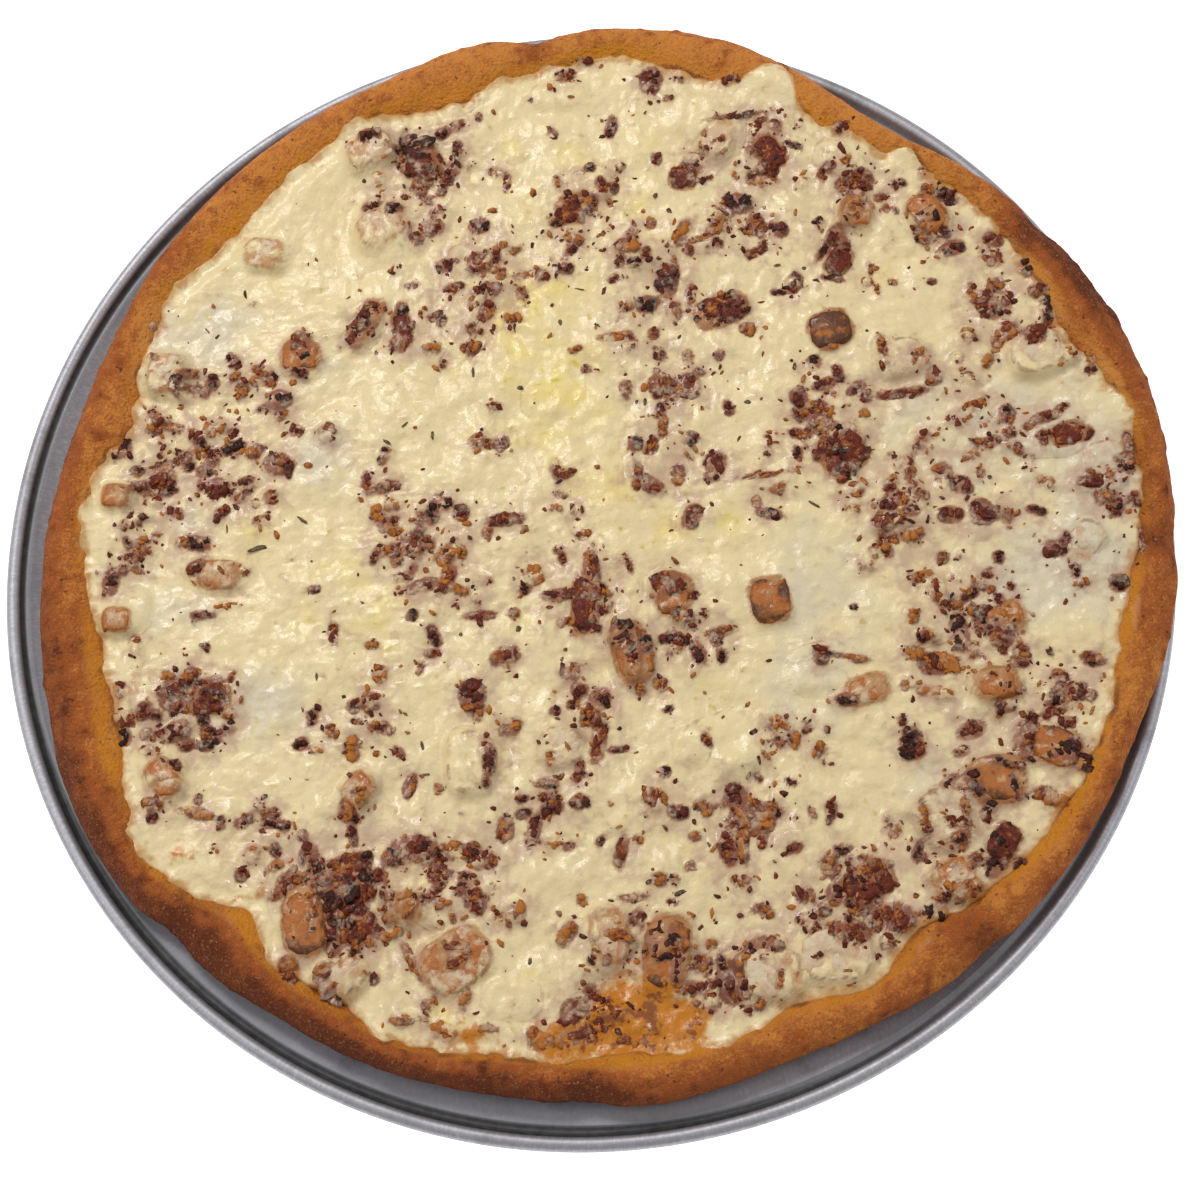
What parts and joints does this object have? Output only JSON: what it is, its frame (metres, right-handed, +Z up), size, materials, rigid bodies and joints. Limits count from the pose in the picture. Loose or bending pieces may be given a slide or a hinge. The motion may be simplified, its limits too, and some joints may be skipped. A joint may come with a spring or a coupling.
{
  "type": "pan pizza",
  "caption": "Whole round pizza with white cheese, chicken cubes and bacon on a swollen baked crust, served in its shallow round aluminium pan.",
  "frame": {"origin": "under the middle of the pan, on the flat face that it stands on", "axes": "+Z up through the pizza; +Y to the far side and +X to the right as the pizza is looked at"},
  "size_m": [0.457, 0.457, 0.023],
  "materials": {
    "pan": "worn satin",
    "crust": "baked, dry",
    "cheese": "melted, slightly oily",
    "chicken": "browned",
    "bacon": "fried, slightly oily"
  },
  "bodies": {
    "root": {"bacon_01": "bacon", "bacon_02": "bacon", "bacon_03": "bacon", "bacon_04": "bacon", "bacon_05": "bacon", "bacon_06": "bacon", "bacon_07": "bacon", "bacon_08": "bacon", "bacon_09": "bacon", "bacon_10": "bacon", "bacon_11": "bacon", "bacon_12": "bacon", "bacon_13": "bacon", "bacon_14": "bacon", "bacon_15": "bacon", "bacon_16": "bacon", "cheese": "cheese", "chicken_01": "chicken", "chicken_02": "chicken", "chicken_03": "chicken", "chicken_04": "chicken", "chicken_05": "chicken", "chicken_06": "chicken", "chicken_07": "chicken", "chicken_08": "chicken", "chicken_09": "chicken", "chicken_10": "chicken", "chicken_11": "chicken", "chicken_12": "chicken", "chicken_13": "chicken", "chicken_14": "chicken", "chicken_15": "chicken", "chicken_16": "chicken", "chicken_17": "chicken", "chicken_18": "chicken", "chicken_19": "chicken", "chicken_20": "chicken", "chicken_21": "chicken", "chicken_22": "chicken", "chicken_23": "chicken", "chicken_24": "chicken", "chicken_25": "chicken", "chicken_26": "chicken", "chicken_27": "chicken", "chicken_28": "chicken", "chicken_29": "chicken", "chicken_30": "chicken", "chicken_31": "chicken", "chicken_32": "chicken", "chicken_33": "chicken", "chicken_34": "chicken", "chicken_35": "chicken", "chicken_36": "chicken", "chicken_37": "chicken", "crust": "crust", "pan": "pan"}
  },
  "joints": []
}
